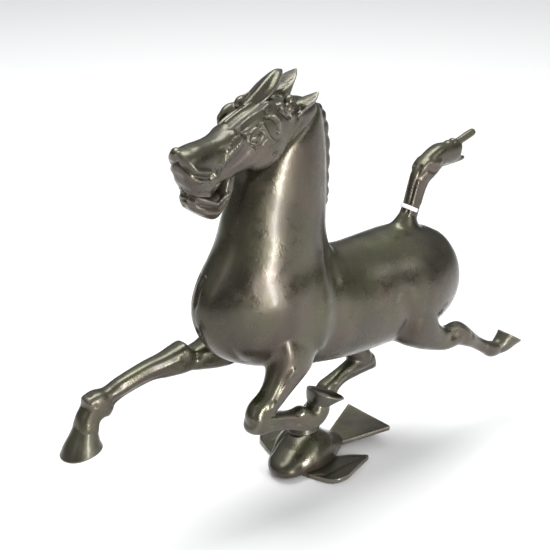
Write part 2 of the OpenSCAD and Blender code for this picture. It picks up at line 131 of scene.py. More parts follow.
def patina_group():
    """Node group: from how green and how rough the piece is, gives the patina's colour, its
    roughness and the height of the cast skin. Clouds of noise mix brown and olive, faces
    that look up take more olive as a painted reflection of the bright room above, and the
    piece's own relief attribute, positive on ridges and negative in grooves, shows paler
    metal or black."""
    tree = bpy.data.node_groups.new("bronze_patina", "ShaderNodeTree")
    face = tree.interface
    for name, value in (("Brown", BROWN), ("Olive", (0.070, 0.072, 0.037, 1)),
                        ("Worn", (0.25, 0.23, 0.19, 1))):
        s = face.new_socket(name, in_out="INPUT", socket_type="NodeSocketColor")
        s.default_value = value
    for name, value in (("Green", 0.5), ("Gloss", 0.36)):
        s = face.new_socket(name, in_out="INPUT", socket_type="NodeSocketFloat")
        s.default_value = value
    for name, kind in (("Color", "NodeSocketColor"), ("Roughness", "NodeSocketFloat"),
                       ("Height", "NodeSocketFloat")):
        face.new_socket(name, in_out="OUTPUT", socket_type=kind)
    nodes, links = tree.nodes, tree.links
    given = nodes.new("NodeGroupInput")
    out = nodes.new("NodeGroupOutput")
    place = nodes.new("ShaderNodeTexCoord")

    def noise(scale, detail, rough=0.5, stretch=None):
        n = nodes.new("ShaderNodeTexNoise")
        n.inputs["Scale"].default_value = scale
        n.inputs["Detail"].default_value = detail
        n.inputs["Roughness"].default_value = rough
        source = place.outputs["Object"]
        if stretch:
            m = nodes.new("ShaderNodeMapping")
            m.inputs["Scale"].default_value = stretch
            links.new(source, m.inputs["Vector"])
            source = m.outputs["Vector"]
        links.new(source, n.inputs["Vector"])
        return n.outputs["Fac"]

    def ramp(value, low, high, to_low=0.0, to_high=1.0):
        n = nodes.new("ShaderNodeMapRange")
        n.interpolation_type = "SMOOTHSTEP"
        for name, v in (("From Min", low), ("From Max", high), ("To Min", to_low), ("To Max", to_high)):
            n.inputs[name].default_value = v
        links.new(value, n.inputs["Value"])
        return n.outputs["Result"]

    def combined(a, b, kind="ADD"):
        n = nodes.new("ShaderNodeMath")
        n.operation = kind
        for socket, v in zip(n.inputs, (a, b)):
            if isinstance(v, (int, float)):
                socket.default_value = v
            else:
                links.new(v, socket)
        return n.outputs[0]

    def mix(factor, a, b):
        n = nodes.new("ShaderNodeMix")
        n.data_type = "RGBA"
        for name, v in (("Factor", factor), ("A", a), ("B", b)):
            socket = [i for i in n.inputs if i.name == name and i.enabled][0]
            if isinstance(v, (int, float, tuple)):
                socket.default_value = v
            else:
                links.new(v, socket)
        return [o for o in n.outputs if o.enabled][0]

    shape = nodes.new("ShaderNodeNewGeometry")
    split = nodes.new("ShaderNodeSeparateXYZ")
    links.new(shape.outputs["Normal"], split.inputs[0])
    # painted reflection: faces that look up take more olive, standing for the pale reflection of the bright
    # room above on the back
    upward = ramp(split.outputs["Z"], -0.2, 0.9)
    clouds = ramp(noise(22, 4, 0.6), 0.40, 0.60)
    streaks = ramp(noise(34, 3, 0.5, (1, 1, 0.45)), 0.38, 0.68)
    green = combined(combined(clouds, 0.45, "MULTIPLY"), combined(upward, 0.70, "MULTIPLY"))
    green = combined(green, combined(given.outputs["Green"], 2.0, "MULTIPLY"), "MULTIPLY")
    colour = mix(green, given.outputs["Brown"], given.outputs["Olive"])
    colour = mix(combined(streaks, 0.6, "MULTIPLY"), colour, DARK_STREAK)
    relief = nodes.new("ShaderNodeAttribute")
    relief.attribute_name = "relief"
    ridge = ramp(relief.outputs["Fac"], 0.10, 0.60, 0.0, 0.6)
    colour = mix(ridge, colour, given.outputs["Worn"])
    hollow = ramp(relief.outputs["Fac"], -0.06, -0.55, 0.0, 0.88)
    colour = mix(hollow, colour, HOLLOW_BLACK)
    specks = ramp(noise(700, 2, 0.5), 0.66, 0.74, 0.0, 0.30)
    colour = mix(specks, colour, BARE_SPECK)
    links.new(colour, out.inputs["Color"])
    rough = combined(given.outputs["Gloss"], ramp(noise(60, 5, 0.65), 0.32, 0.68, -0.08, 0.12))
    rough = combined(rough, combined(hollow, 0.25, "MULTIPLY"))
    links.new(rough, out.inputs["Roughness"])
    skin = combined(combined(noise(520, 3, 0.65), 0.55, "MULTIPLY"),
                  combined(noise(170, 2, 0.5), 0.6, "MULTIPLY"))
    links.new(skin, out.inputs["Height"])
    return tree


def bronze(name, group, green=0.5, gloss=0.30, brown=BROWN):
    """A patinated and waxed bronze: the shared patina with this piece's share of olive,
    roughness and brown, under a thin clear coat."""
    material = bpy.data.materials.new(name)
    material.use_nodes = True
    nodes, links = material.node_tree.nodes, material.node_tree.links
    shader = nodes["Principled BSDF"]
    shader.inputs["Metallic"].default_value = 0.72
    shader.inputs["Coat Weight"].default_value = 0.35
    shader.inputs["Coat Roughness"].default_value = 0.20
    coat = nodes.new("ShaderNodeGroup")
    coat.node_tree = group
    for key, value in (("Green", green), ("Gloss", gloss), ("Brown", brown)):
        coat.inputs[key].default_value = value
    relief = nodes.new("ShaderNodeBump")
    relief.inputs["Strength"].default_value = 0.4
    relief.inputs["Distance"].default_value = 0.0006
    links.new(coat.outputs["Color"], shader.inputs["Base Color"])
    links.new(coat.outputs["Roughness"], shader.inputs["Roughness"])
    links.new(coat.outputs["Height"], relief.inputs["Height"])
    links.new(relief.outputs["Normal"], shader.inputs["Normal"])
    return material


patina = patina_group()
body_bronze = bronze("body_bronze", patina)

# ------------------------------------------------------------------------------------
# The body is a hollow casting: barrel, croup, chest and shoulders in one, with the neck
# cast on its own and sleeved to it, and the legs doweled on. All are chased together, so
# one smooth skin runs over the joints.
MM = 0.001
HOOF_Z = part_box("right_hind_hoof")[0].z * 1000          # where the hoof stands on the bird


def smooth_rows(rows, count):
    """Rows joined by a smooth curve: between two rows runs the cubic that passes through
    both with the slope that their neighbours give it."""
    rows = np.asarray(rows, float)
    t = np.linspace(0, len(rows) - 1, count)
    i = np.minimum(t.astype(int), len(rows) - 2)
    u = (t - i)[:, None]
    a, b = rows[np.maximum(i - 1, 0)], rows[i]
    c, d = rows[i + 1], rows[np.minimum(i + 2, len(rows) - 1)]
    return 0.5 * (2 * b + (c - a) * u + (2 * a - 5 * b + 4 * c - d) * u**2
                  + (3 * b - a - 3 * c + d) * u**3)


def closed(rings):
    """A grid of rings as points and faces: quads between the rings and a fan onto the
    middle of the first and the last one. The volume is a sixth of the sum of the faces'
    triple products, and if it comes out negative every face is turned round."""
    count, around = rings.shape[:2]
    points = np.vstack([rings.reshape(-1, 3), rings[0].mean(0), rings[-1].mean(0)])
    i, j = np.meshgrid(np.arange(count - 1), np.arange(around), indexing="ij")
    a, b = (i * around + j).ravel(), (i * around + (j + 1) % around).ravel()
    k = np.arange(around)
    n, last = count * around, (count - 1) * around
    fans = np.vstack([np.stack([(k + 1) % around, k, np.full(around, n)], 1),
                      np.stack([last + k, last + (k + 1) % around, np.full(around, n + 1)], 1)])
    threes = np.vstack([np.stack([a, b, b + around], 1), np.stack([a, b + around, a + around], 1), fans])
    p = points - points.mean(0)
    volume = np.einsum("ij,ij->i", p[threes[:, 0]], np.cross(p[threes[:, 1]], p[threes[:, 2]])).sum()
    faces = np.stack([a, b, b + around, a + around], 1).tolist() + fans.tolist()
    return points, faces if volume > 0 else [f[::-1] for f in faces]


def limb(rows, along=60, around=40, square=2.0, swell=None):
    """An oval carried along a path. Row: x, y, z of its middle, half width, radius above,
    radius below, slope in degrees. At angle q the skin is the middle plus half width times
    cosine q sideways plus the radius times sine q upward, both to the power 2/square.
    swell(t, q), if given, multiplies the oval."""
    r = smooth_rows(rows, along)
    q = np.linspace(0, 2 * np.pi, around, endpoint=False)[None, :]
    t = np.linspace(0, 1, along)[:, None]
    c = np.sign(np.cos(q)) * np.abs(np.cos(q)) ** (2 / square)
    s = np.sign(np.sin(q)) * np.abs(np.sin(q)) ** (2 / square)
    grow = np.ones((along, around)) if swell is None else swell(t, q)
    high = np.where(s > 0, r[:, 4:5], r[:, 5:6]) * s * grow
    slope = np.radians(r[:, 6:7])
    x = r[:, 0:1] - high * np.sin(slope)
    y = r[:, 1:2] + r[:, 3:4] * c * grow
    z = r[:, 2:3] + high * np.cos(slope)
    return closed(np.stack([x, y, z], 2))


def ball(middle, radii, count=24):
    """An ellipsoid: a row of rings whose radius is the sine of the polar angle, from just
    past one pole to just before the other."""
    angle = np.linspace(0.06, np.pi - 0.06, count)
    w = np.sin(angle)
    x = -np.cos(angle)
    rows = np.stack([x, 0 * x, 0 * x, w, w, w, 0 * x], 1)
    points, faces = limb(rows, count, count)
    return points * np.asarray(radii, float) + np.asarray(middle, float), faces


def make_object(name, points, faces):
    """Puts points in millimetres and their faces into a smooth mesh object."""
    mesh = bpy.data.meshes.new(name)
    mesh.from_pydata((np.asarray(points) * MM).tolist(), [], faces)
    mesh.polygons.foreach_set("use_smooth", np.ones(len(mesh.polygons), bool))
    mesh.update()
    thing = bpy.data.objects.new(name, mesh)
    bpy.context.scene.collection.objects.link(thing)
    return thing


def joined(shells):
    """Several closed shells as one list of points and faces."""
    points, faces, start = [], [], 0
    for p, f in shells:
        points.append(p)
        faces += [[i + start for i in face] for face in f]
        start += len(p)
    return np.vstack(points), faces


def remeshed(name, shells, cell):
    """Melts overlapping closed shells into one skin of small even cells."""
    thing = make_object(name, *joined(shells))
    melt = thing.modifiers.new("melt", "REMESH")
    melt.mode, melt.voxel_size = "VOXEL", cell * MM
    whole = bpy.data.meshes.new_from_object(
        thing.evaluated_get(bpy.context.evaluated_depsgraph_get()))
    rough = thing.data
    thing.modifiers.clear()
    thing.data = whole
    bpy.data.meshes.remove(rough)
    whole.name = name
    return thing


def points_of(thing):
    """The mesh's points, in millimetres, as an array."""
    flat = np.empty(len(thing.data.vertices) * 3, np.float32)
    thing.data.vertices.foreach_get("co", flat)
    return flat.reshape(-1, 3).astype(float) / MM


def set_points(thing, points):
    """Puts changed points back into the mesh."""
    thing.data.vertices.foreach_set("co", (points * MM).astype(np.float32).ravel())
    thing.data.update()


def normals_of(thing):
    """The mesh's outward normals at its points."""
    flat = np.empty(len(thing.data.vertices) * 3, np.float32)
    thing.data.vertices.foreach_get("normal", flat)
    return flat.reshape(-1, 3).astype(float)


def neighbours(thing):
    """The points at the two ends of every edge, and each point's number of neighbours."""
    ends = np.empty(len(thing.data.edges) * 2, np.int32)
    thing.data.edges.foreach_get("vertices", ends)
    a, b = ends[0::2], ends[1::2]
    size = len(thing.data.vertices)
    return a, b, np.maximum(np.bincount(a, minlength=size) + np.bincount(b, minlength=size), 1)


def soften(thing, rounds, share=1.0):
    """Moves every point six tenths of the way to the mean of its neighbours, rounds times,
    times its share from 0 to 1, so that hard creases become fillets."""
    a, b, count = neighbours(thing)
    p = points_of(thing)
    pull = 0.6 * np.broadcast_to(share, len(p))[:, None]
    for _ in range(rounds):
        mean = np.stack([np.bincount(a, p[b, k], len(p)) + np.bincount(b, p[a, k], len(p))
                         for k in range(3)], 1) / count[:, None]
        p = p + (mean - p) * pull
    set_points(thing, p)


def near_line(points, line):
    """Distance of every point from a polyline: the least over its straight pieces."""
    line = np.asarray(line, float)
    best = np.full(len(points), 1e9)
    for a, b in zip(line[:-1], line[1:]):
        run = b - a
        t = np.clip(((points - a) @ run) / (run @ run), 0, 1)
        best = np.minimum(best, np.linalg.norm(points - a - t[:, None] * run, axis=1))
    return best


def line_mark(points, line, width, height):
    """A ridge, or with a negative height a groove: height times a bell curve of the
    distance from the line, whose corners are first laid on the nearest points."""
    line = [points[np.argmin(((points - np.asarray(spot, float)) ** 2).sum(1))] for spot in line]
    return height * np.exp(-(near_line(points, line) / width) ** 2)


def spot_mark(points, middle, radii, height):
    """A swelling or hollow: height times a bell curve of the scaled distance."""
    d = (points - np.asarray(middle, float)) / np.asarray(radii, float)
    return height * np.exp(-(d ** 2).sum(1))


def press(thing, depth):
    """Moves every point along its normal by its own depth in millimetres."""
    set_points(thing, points_of(thing) + normals_of(thing) * depth[:, None])


def lifted(rows):
    """Rows measured from the bird's back, raised to where the hoof stands."""
    return [[r[0], r[1], r[2] + HOOF_Z, *r[3:]] for r in rows]


def mirrored(marks):
    """Each mark, followed by its mirror image on the other side."""
    return [(np.asarray(place, float) * side, *rest) for place, *rest in marks
            for side in ((1, 1, 1), (1, -1, 1))]


def raised(marks):
    """Marks measured from the bird's back, raised to where the hoof stands."""
    return [(np.asarray(place, float) + (0, 0, HOOF_Z), *rest) for place, *rest in marks]


def marked(points, lines, spots=()):
    """The sum of line marks, each a line, its width and its height, and of spot marks,
    each a middle, its radii and its height."""
    return (sum(line_mark(points, *mark) for mark in lines)
            + sum(spot_mark(points, *mark) for mark in spots))


def relief_of(thing, strength=2.2, rounds=6):
    """Writes the relief attribute: how far each point stands above its neighbours along its
    normal, over the square of their distance, averaged over a few rounds of neighbours,
    times the strength, and held within one either way. Ridges are positive."""
    a, b, count = neighbours(thing)
    p, n = points_of(thing), normals_of(thing)
    run = p[b] - p[a]
    far = np.maximum((run ** 2).sum(1), 1e-4)
    bend = (np.bincount(a, -(run * n[a]).sum(1) / far, len(p))
            + np.bincount(b, (run * n[b]).sum(1) / far, len(p)))
    bend = bend / count
    for _ in range(rounds):
        near = np.bincount(a, bend[b], len(p)) + np.bincount(b, bend[a], len(p))
        bend = 0.5 * bend + 0.5 * near / count
    layer = thing.data.attributes.new("relief", "FLOAT", "POINT")
    layer.data.foreach_set("value", np.clip(bend * strength, -1, 1).astype(np.float32))


def finished(thing, material, slot, *nodes):
    """Gives a piece its relief and material, sets it riding, and stands it for its nodes; its
    slot is not used. A sawn piece already has its relief, and the normals of the skin it came from."""
    mesh = thing.data
    if "relief" not in mesh.attributes:
        relief_of(thing)
    if "lie" in mesh.attributes:
        lie = np.empty(len(mesh.vertices) * 3, np.float32)
        mesh.attributes["lie"].data.foreach_get("vector", lie)
        mesh.attributes.remove(mesh.attributes["lie"])
        mesh.normals_split_custom_set_from_vertices(lie.reshape(-1, 3).tolist())
    thing.data.materials.clear()
    thing.data.materials.append(material)
    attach(thing, "root")
    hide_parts(*nodes)
    return thing


TRUNK = lifted([
    [-141, 0, 120, 6, 7, 8, 0], [-138, 0, 120, 22, 23, 28, 0], [-129, 0, 118, 32, 37, 38, 0],
    [-110, 0, 117, 38, 46, 46, 0], [-85, 0, 118, 41, 50, 48, 0], [-55, 0, 119, 39, 49, 50, 0],
    [-25, 0, 119, 37, 49, 49, 4], [3, 0, 123, 37, 49, 49, 17], [19, 0, 128, 38, 51, 52, 33],
    [35, 0, 133, 38, 57, 58, 47], [50, 0, 143, 37, 62, 65, 61], [57, 0, 157, 36, 63, 67, 74],
    [56, 0, 170, 32.5, 60, 63, 84], [51, 0, 193, 30, 50, 50, 88], [46, 0, 217, 27, 46, 47, 88],
    [43, 0, 237, 25, 43, 42, 87], [41, 0, 253, 23, 41, 40, 78], [40, 0, 271, 20, 38, 34, 63],
    [42, 0, 277, 14, 30, 22, 58]])
TAIL_ROOT = lifted([
    [-88, 0, 146, 21, 25, 22, 98], [-92, 0, 158, 16, 19, 17, 100], [-95, 0, 166, 11, 14, 13, 104],
    [-97, 0, 172, 8, 10, 10, 106], [-98, 0, 176, 6.8, 8, 8, 107], [-98.5, 0, 179, 5.5, 6.5, 6.5, 108]])
RIGHT_FORELEG = lifted([
    [64, -20, 118, 10, 22, 22, -12], [78, -21, 107, 14, 21, 20, -12], [90, -23, 102, 13, 14, 16, -8],
    [106, -24, 101, 10, 8, 12, -2], [113, -26, 102, 10, 9, 12, 0], [117, -26, 102, 10, 13, 12, 0],
    [124, -26, 102, 9.5, 11.5, 12, -6], [136, -26, 101, 8, 9.5, 10, -9], [150, -27, 100, 7, 8, 8, -10],
    [172, -27, 95, 6.5, 8, 7, -15], [184, -28, 91, 6.5, 7, 8, -22], [190, -28, 90, 8, 10, 12, -38],
    [196, -28, 86, 8.5, 13, 14, -44], [199, -28, 83, 8, 9.5, 11, -52], [203, -28, 78, 8, 9, 9, -66],
    [205, -28, 72, 9, 9, 9, -75], [206, -28, 67, 9, 9, 9, -79],
    [206.5, -28, 63, 8.5, 8.5, 8.5, -80]])
LEFT_FORELEG = lifted([
    [44, 18, 122, 14, 30, 28, -52], [52, 24, 105, 16, 24, 23, -50], [60, 27, 94, 14, 17, 17, -46],
    [69, 30, 84, 10, 12.5, 13, -44], [78, 32, 76, 9, 10, 10, -42], [88, 33, 69, 9, 11, 9, -46],
    [94, 34, 64, 8, 9, 7, -52], [97, 34, 60, 5, 5, 4, -56]])
LEFT_CANNON = lifted([
    [100, 34, 64, 4, 4, 4, -160], [98, 34, 65, 8, 10, 8, -162], [90, 34, 62, 9, 10.5, 9.5, -164],
    [79, 34, 58, 7.5, 8, 8, -162], [66, 34, 54, 6.5, 7.5, 7, -162], [56, 34, 51, 7, 8, 8, -164],
    [48, 34, 49, 8, 9.5, 10, -168], [40, 34, 46, 8, 9, 9.5, -182], [34, 34, 47, 8, 8.5, 9, -215],
    [30.5, 33.5, 51, 8.5, 9, 9, -245], [29.5, 33, 54, 8.5, 9, 9, -254], [28, 33, 57, 8, 8, 8, -252]])
LEFT_HIND = lifted([
    [-70, 14, 112, 18, 26, 26, -158], [-76, 20, 98, 19, 24, 21, -158], [-90, 24, 87, 16, 22, 19, -160],
    [-103, 27, 74, 12, 14.5, 12.5, -168], [-116, 30, 67, 9, 11, 10, -176], [-128, 31, 66, 8, 10, 12, -172],
    [-134, 31, 65, 8, 9.5, 11, -165], [-143, 32, 60, 7, 8, 8, -150], [-156, 32, 51, 5, 6, 6, -144],
    [-168, 32, 43, 5.5, 6, 6, -147], [-177, 32, 38, 6.5, 7.5, 7, -158], [-184, 32, 36, 6, 6, 7, -190],
    [-186, 32, 36, 6, 6, 7, -196]])
RIGHT_THIGH = lifted([
    [-66, -16, 112, 16, 26, 26, -82], [-58, -20, 88, 16, 20, 22, -90], [-55, -23, 68, 12, 14, 17, -112],
    [-62, -22, 53, 9, 10, 11, -130], [-70, -20, 43, 8, 9, 9, -132], [-75, -20, 39, 5, 5, 5, -132]])
RIGHT_SHANK = lifted([
    [-82, -20, 38, 4, 6, 6, -12], [-79, -20, 39, 7, 9, 8, -12], [-68, -20, 40, 7.5, 9, 9, -8],
    [-57, -20, 38, 7, 8, 8, -12], [-45, -20, 35, 6, 7, 7, -18], [-35, -20, 31, 7, 7, 7, -28],
    [-29, -20, 27, 8, 9, 9, -40], [-24, -20, 23, 7.5, 8, 9, -46], [-18, -19, 18, 7, 7, 8, -46],
    [-12, -19, 13, 8, 8, 8, -54], [-10, -19, 11, 8, 8, 8, -57]])


def mane_swell(t, q):
    """The mane's ridge: thirteen even scallops along its length, strongest on the outside."""
    return 1 + 0.30 * np.abs(np.sin(t * np.pi * 13)) ** 0.7 * np.clip(np.sin(q), 0, 1)


MANE = lifted([
    [14, 0, 288, 3, 3, 6, 40], [8, 0, 283, 5, 6, 8, 60], [4, 0, 271, 6, 7, 9, 76],
    [1, 0, 250, 6, 6.5, 9, 84], [1, 0, 228, 6, 6, 9, 88], [1, 0, 212, 5.5, 6, 8, 90],
    [1, 0, 203, 4.5, 3.5, 7, 91], [1, 0, 190, 4, 4, 7, 92], [-1, 0, 180, 2.5, 2, 5, 96]])

horse = remeshed("torso", [
    limb(TRUNK, 150, 90), limb(TAIL_ROOT, 40, 40), limb(RIGHT_FORELEG, 170, 56, 2.9),
    limb(LEFT_FORELEG, 80, 56, 2.5), limb(LEFT_CANNON, 110, 56, 2.9), limb(LEFT_HIND, 120, 48, 2.3),
    limb(RIGHT_THIGH, 60, 48, 2.3), limb(RIGHT_SHANK, 90, 48, 3.0),
    limb(MANE, 160, 32, 2.0, mane_swell)], 1.1)
skin = points_of(horse)
# how strongly each place is blended: full at the roots of legs and tail, none further off
roots = np.zeros(len(skin))
for x, y, z, reach in ((86, -22, 105, 18), (56, 25, 102, 22), (-90, 22, 90, 24), (-57, -20, 84, 22),
                       (-75, 18, 110, 24), (72, -20, 113, 18), (50, 20, 112, 20), (-92, 0, 164, 20)):
    d = np.linalg.norm(skin - np.array((x, y, z + HOOF_Z)), axis=1)
    roots = np.maximum(roots, np.clip(1.6 - d / reach, 0, 1))
soften(horse, 1)
soften(horse, 34, roots)
NECK_FOOT = [([(-2, 22, 172), (26, 32, 168), (58, 34, 162)],)]
foot = np.minimum(*(near_line(skin, line) for line, in raised(mirrored(NECK_FOOT))))
soften(horse, 110, np.clip(1.5 - foot / 13, 0, 1))
skin = points_of(horse)
# marks on both sides of the body, then the rest: each a line, its width and its height
BODY_LINES = [
    ([(22, 26, 176), (26, 33, 152), (28, 36, 132), (30, 34, 106)], 7, 1.3),     # shoulder's edge
    ([(8, 24, 172), (11, 35, 150), (13, 37, 130), (16, 33, 104)], 8, -1.8),     # hollow behind it
    ([(-58, 37, 122), (-66, 38, 104), (-70, 33, 86)], 7, -2.4),                 # flank
    ([(108, 17, 132), (100, 16, 117), (90, 14, 106)], 3, -1.0)]                 # breast
BODY_SPOTS = [((62, 36, 148), (24, 16, 36), 2.6),                               # shoulder
              ((-98, 34, 116), (26, 18, 32), 2.4)]                              # buttock
SINGLE_LINES = [
    ([(110, -2, 172), (118, -2, 158), (118, -2, 128)], 2.0, -2.2),              # folds of the chest
    ([(106, -11, 170), (115, -11, 154), (113, -11, 126)], 2.0, -2.0),
    ([(102, -18, 166), (109, -20, 148), (107, -20, 126)], 2.2, -1.6),
    ([(-143, 0, 90), (-143, 0, 130), (-128, 0, 160)], 4, -1.6),                 # cleft of the croup
    ([(110, -34, 103), (110, -24, 111), (110, -15, 103)], 2.2, -2.2),           # step over the knee
    ([(126, -17, 106), (158, -20, 100), (186, -21, 92)], 1.6, 0.8),             # right cannon
    ([(128, -17, 97), (160, -20, 93), (184, -21, 87)], 2.0, -1.0),
    ([(126, -26, 91), (160, -27, 91), (182, -28, 83)], 2.2, 1.0),
    ([(201, -20, 90), (200, -28, 93), (201, -36, 90)], 1.8, -0.8),              # its fetlock
    ([(62, 42, 98), (72, 41, 86), (84, 42, 74)], 2.4, 1.5),                     # left forearm
    ([(70, 42, 90), (80, 42, 79)], 1.8, -1.4),
    ([(84, 42, 60), (70, 41, 56), (56, 42, 50)], 1.6, -1.2),                    # left cannon
    ([(84, 42, 65), (70, 40, 60), (60, 41, 57)], 1.4, 1.0),
    ([(-122, 36, 76), (-130, 36, 74), (-140, 37, 66)], 2.0, 1.2),               # left hock
    ([(-146, 37, 60), (-166, 37, 46)], 1.8, 0.9),
    ([(-74, -13, 36), (-52, -14, 35), (-34, -13, 29)], 1.6, -1.1),              # right hind cannon
    ([(-74, -13, 41), (-52, -14, 40), (-34, -13, 34)], 1.6, 0.9)]
SINGLE_SPOTS = [((50, 38, 59), (3.5, 7, 3.5), 2.2),                             # left fetlock
                ((-121, 38, 70), (6, 5, 4.5), -2.4)]                            # hollow of the hock
press(horse, marked(skin, raised(mirrored(BODY_LINES) + SINGLE_LINES),
                    raised(mirrored(BODY_SPOTS) + SINGLE_SPOTS)))
soften(horse, 1)
relief_of(horse, 4.4, 16)
lie = horse.data.attributes.new("lie", "FLOAT_VECTOR", "POINT")
lie.data.foreach_set("vector", normals_of(horse).astype(np.float32).ravel())


def parted(thing, name, place, normal, reach=None):
    """Saws a casting off along a joint plane. Faces within reach of the place are cut by
    the plane, the cut is opened, and the shell on the side that the normal points to
    becomes its own object. Both cuts are closed with flat faces. The skin keeps the normals
    it had, so the joint is chased smooth."""
    mesh = bmesh.new()
    mesh.from_mesh(thing.data)
    middle, facing = Vector(place) * MM, Vector(normal).normalized()
    size = (reach or 1000) * MM                          # without a reach the whole piece is cut
    near = [f for f in mesh.faces if (f.calc_center_median() - middle).length < size]
    geom = near + list({e for f in near for e in f.edges}) + list({v for f in near for v in f.verts})
    cut = bmesh.ops.bisect_plane(mesh, geom=geom, plane_co=middle, plane_no=facing)["geom_cut"]
    bmesh.ops.split_edges(mesh, edges=[e for e in cut if isinstance(e, bmesh.types.BMEdge)])
    aim = middle + facing * min(size, 40 * MM)          # a place well past the cut
    shell = {min(mesh.verts, key=lambda v: (v.co - aim).length)}
    front = list(shell)
    while front:
        front = [w for v in front for e in v.link_edges if (w := e.other_vert(v)) not in shell
                 and not shell.add(w)]
    for face in mesh.faces:
        face.material_index = int(face.verts[0] in shell)
    pieces = []
    for side, holder in ((0, thing), (1, bpy.data.objects.new(name, bpy.data.meshes.new(name)))):
        part = mesh.copy()
        bmesh.ops.delete(part, geom=[f for f in part.faces if f.material_index != side], context="FACES")
        bmesh.ops.holes_fill(part, edges=[e for e in part.edges if e.is_boundary])
        for face in part.faces:
            face.material_index = 0
        part.to_mesh(holder.data)
        part.free()
        holder.data.update()
        pieces.append(holder)
    mesh.free()
    bpy.context.scene.collection.objects.link(pieces[1])
    return pieces[1]


NECK_SLOPE = math.radians(84)
for name, place, normal, reach in (
        ("neck", (56, 0, 170), (math.cos(NECK_SLOPE), 0, math.sin(NECK_SLOPE)), None),
        ("right_foreleg", (107, -25, 100), (1, -0.1, -0.1), 18),
        ("left_forearm", (71, 30, 82), (0.7, 0.1, -0.7), 17),
        ("left_hind_leg", (-119, 30, 67), (-1, 0, -0.1), 16),
        ("right_hind_leg", (-60, -22, 58), (-0.5, 0, -0.85), 17)):
    part = parted(horse, name, lifted([place])[0], normal, reach)
    if name == "left_forearm":
        cannon = parted(part, "left_fore_cannon", (88, 34, 66 + HOOF_Z), (0.1, 0, -1), 24)
        finished(cannon, body_bronze, "bronze", "left_fore_cannon")
    finished(part, body_bronze, "bronze", name)
finished(horse, body_bronze, "bronze", "torso")

# ------------------------------------------------------------------------------------
# The vent through which the belly's core was taken out is closed by a round plug, which
# is hammered in and filed nearly flush.
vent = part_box("belly_plug")
AROUND = 48
BELLY_MIDDLE, BELLY_DOWN, BELLY_HALF = 119 + HOOF_Z, 50, 39      # the trunk's oval at the vent
ring = np.array([[0.02, 0.5], [0.6, 0.5], [0.9, 0.4], [1.0, 0.0], [1.0, -2.5], [0.02, -2.5]])
turn = np.linspace(0, 2 * np.pi, AROUND, endpoint=False)
reach = (vent[1].x - vent[0].x) / 2 / MM
x = (vent[0].x + vent[1].x) / 2 / MM + reach * ring[:, :1] * np.cos(turn)
y = reach * ring[:, :1] * np.sin(turn)
belly = BELLY_MIDDLE - BELLY_DOWN * np.sqrt(1 - (y / BELLY_HALF) ** 2)
points = np.stack([x, y, belly - ring[:, 1:]], 2).reshape(-1, 3)
i, j = np.meshgrid(np.arange(len(ring) - 1), np.arange(AROUND), indexing="ij")
a, b = (i * AROUND + j).ravel(), (i * AROUND + (j + 1) % AROUND).ravel()
faces = np.stack([a, b, b + AROUND, a + AROUND], 1).tolist()
faces += [list(range(AROUND))[::-1], list(range(len(points) - AROUND, len(points)))]
plug = make_object("belly_plug", points, faces)
finished(plug, body_bronze, "bronze", "belly_plug")

# ------------------------------------------------------------------------------------
# The head is its own hollow casting, set on the neck with a sleeve. The brows, eyes,
# nostrils and lips are raised in the wax and cut again in the metal. It is drawn with X
# from poll to muzzle and Z to the forehead, then set turned left, drooping, left side low.
POLL = np.array([20, 0, 288 + HOOF_Z])


def turned(about_x, about_y, about_z):
    """The matrix that turns first about X, then Y, then Z, in degrees."""
    a, b, c = np.radians([about_x, about_y, about_z])
    x = np.array([[1, 0, 0], [0, np.cos(a), -np.sin(a)], [0, np.sin(a), np.cos(a)]])
    y = np.array([[np.cos(b), 0, np.sin(b)], [0, 1, 0], [-np.sin(b), 0, np.cos(b)]])
    z = np.array([[np.cos(c), -np.sin(c), 0], [np.sin(c), np.cos(c), 0], [0, 0, 1]])
    return z @ y @ x


HEAD_TURN = turned(-6, 17, 8)


def at_poll(thing):
    """Sets a piece drawn in the head's frame onto the neck."""
    set_points(thing, points_of(thing) @ HEAD_TURN.T + POLL)
    return thing


SKULL = [
    [-8, 0, -3, 6, 5, 7, 0], [-3, 0, -1, 12, 8, 11, 0], [10, 0, 1, 16, 13, 16, 0],
    [24, 0, 3, 17, 19, 17, 0], [40, 0, 6, 17, 24, 19, 0], [58, 0, 7, 17, 23, 21, 0],
    [74, 0, 9, 15.5, 20.5, 19, 0], [88, 0, 11, 13.5, 17, 19, 0], [97, 0, 12, 12, 17, 22, 0],
    [105, 0, 13, 12, 18, 25, 0], [112, 0, 14.5, 12.5, 18.5, 26, 0], [118, 0, 16, 13, 18, 23, 0],
    [124, 0, 18, 12.5, 17, 20, 0], [128, 0, 20, 10, 13, 15, 0], [130.5, 0, 21, 5, 7, 9, 0]]
head = remeshed("head", [
    limb(SKULL, 140, 90, 2.7),
    ball((52, 9, -1), (23, 9, 16)), ball((52, -9, -1), (23, 9, 16)),        # cheeks
    ball((61, -14, 26), (9, 5, 6)), ball((67, -15, 23), (6, 4, 6)),         # far brow
    ball((51, -10, 30), (6, 5, 4.5)), ball((42, -7, 29.5), (9, 6, 4)),      # tuft over it
    ball((62, 10, 25), (15, 5, 5)), ball((76, 7, 24), (12, 5, 4)),          # near brow
    ball((124.5, -5, 32), (3.6, 4, 4)),                                       # tip of the nose
    ball((35, 11, 23), (5, 4, 4)), ball((28, 13, 19), (5.5, 4, 4.5)),       # curls by the ear
    ball((24, 11, 23), (4.5, 4, 4)), ball((30, 15, 13), (4, 3, 5)),
], 0.55)
soften(head, 4)
face = points_of(head)


def hatch(step):
    """One fine groove across the crest of the cheek, step from 0 to 1 along it."""
    x, z = 82 + 16 * step, 22 - 8 * step
    return [(x - 2, 10, z + 4), (x + 2, 15, z - 3)], 0.6, -0.3


